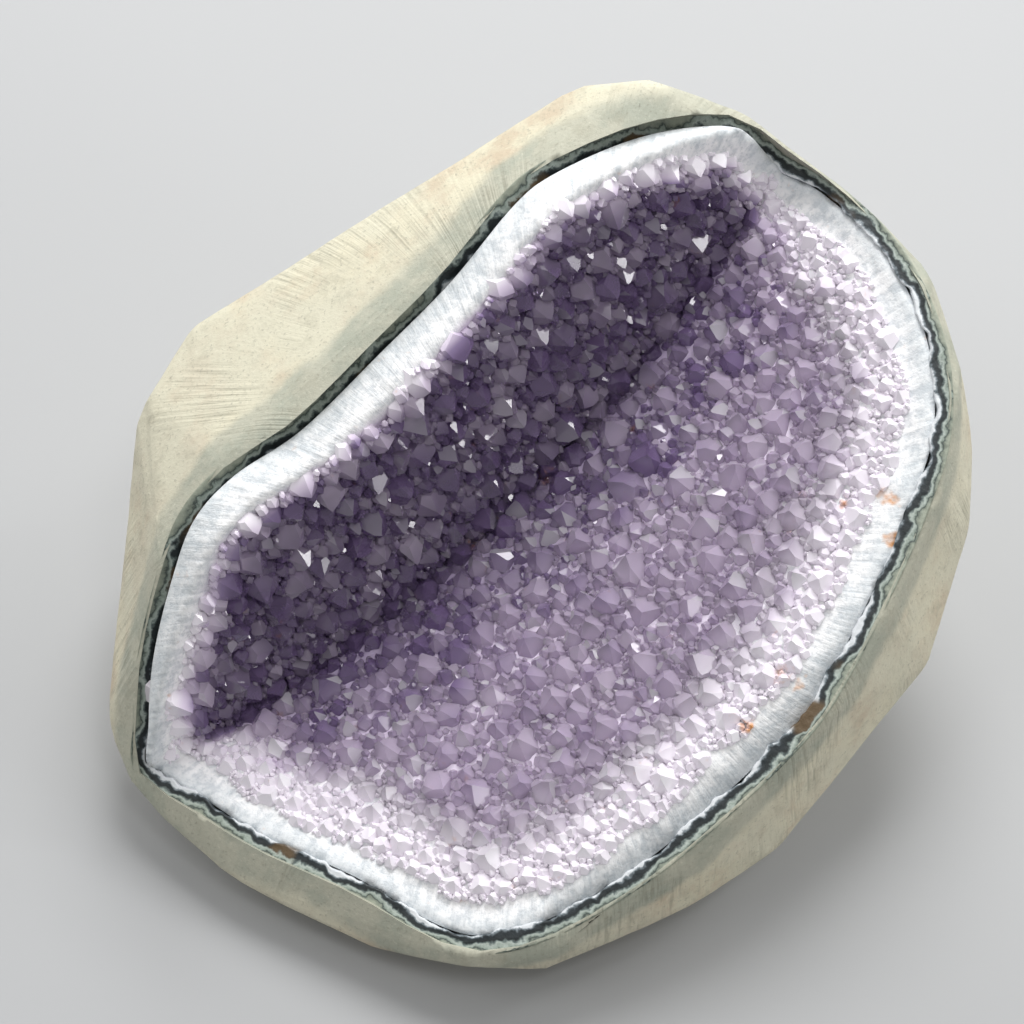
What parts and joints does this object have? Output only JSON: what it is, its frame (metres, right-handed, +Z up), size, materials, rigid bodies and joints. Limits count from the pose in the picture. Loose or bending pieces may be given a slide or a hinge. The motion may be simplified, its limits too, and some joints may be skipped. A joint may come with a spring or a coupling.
{
  "type": "geode half",
  "caption": "Half of an amethyst geode with a ground grey rock rind, a thin green skin and a hollow lined with white quartz and purple crystal points.",
  "frame": {"origin": "centre of the object's box in plan, at the level of the flat ground foot", "axes": "+X to the right and +Y to the back as the hollow is seen from the front, +Z up; the hollow opens to the front and up"},
  "size_m": [0.1546, 0.1388, 0.0927],
  "materials": {
    "basalt": "ground matt",
    "green_skin": "ground satin",
    "amethyst": "glossy crystal"
  },
  "bodies": {
    "root": {"basalt_rind": "basalt", "green_seam": "green_skin", "crystal_crust": "amethyst"}
  },
  "joints": []
}
